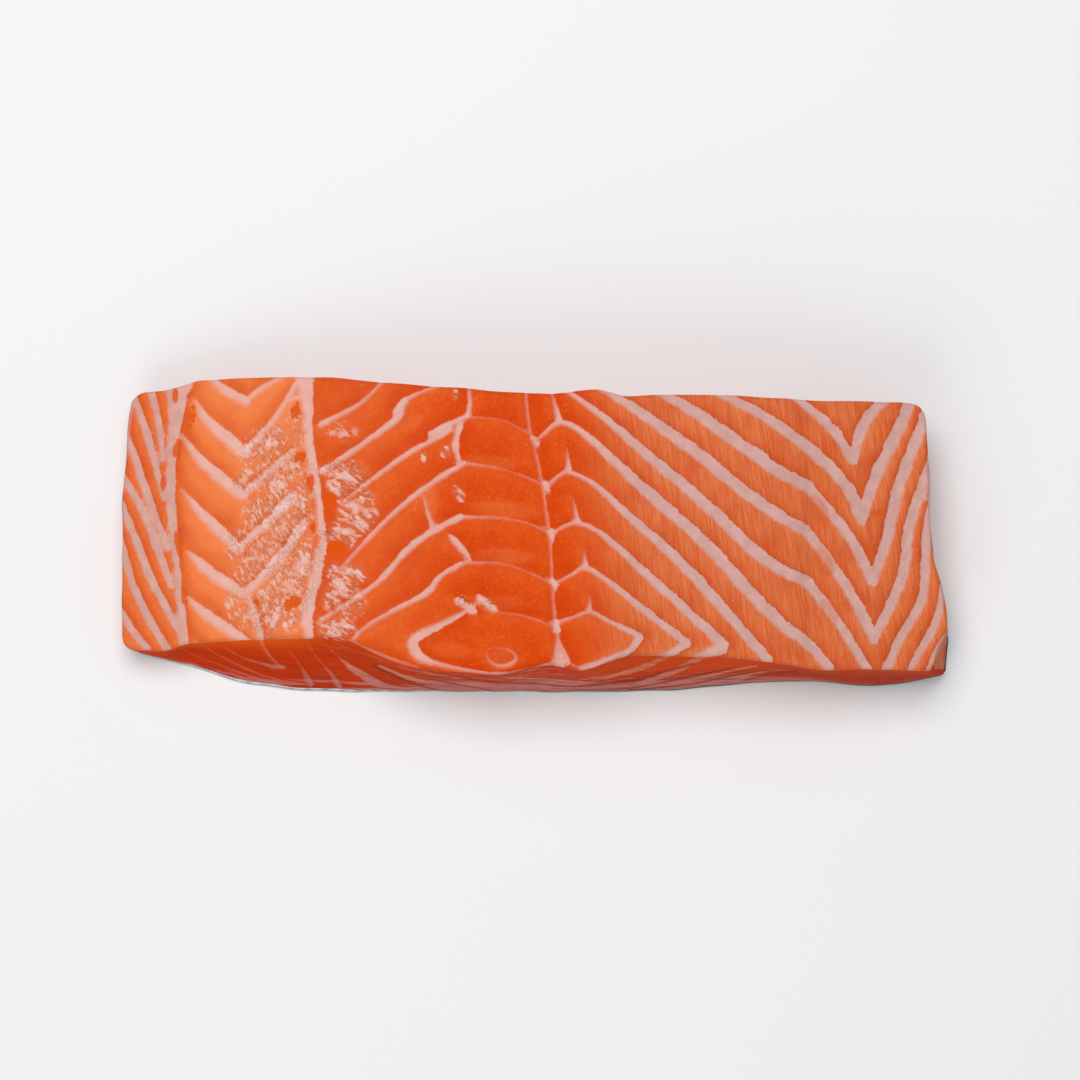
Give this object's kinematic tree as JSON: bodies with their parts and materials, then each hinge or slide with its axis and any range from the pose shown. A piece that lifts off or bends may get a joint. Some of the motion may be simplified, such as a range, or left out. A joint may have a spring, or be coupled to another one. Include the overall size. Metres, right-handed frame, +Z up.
{
  "type": "salmon fillet",
  "caption": "Raw salmon fillet portion cut right across one side of the fish, skin side down: thin belly end, thick loin, orange flesh with white marbling.",
  "frame": {"origin": "centre of the bounding box's bottom face, on the surface that the fillet lies on", "axes": "+X from the thin belly end to the thick back end, +Y from the near, slanting cut face to the far one, +Z up to the flesh side"},
  "size_m": [0.2061, 0.078, 0.0275],
  "materials": {
    "salmon_flesh": "moist raw fish flesh: orange muscle in chevron bands, divided by white to pale pink fat lines, with a thin silvery skin underneath"
  },
  "bodies": {
    "root": {"salmon_fillet": "salmon_flesh"}
  },
  "joints": []
}
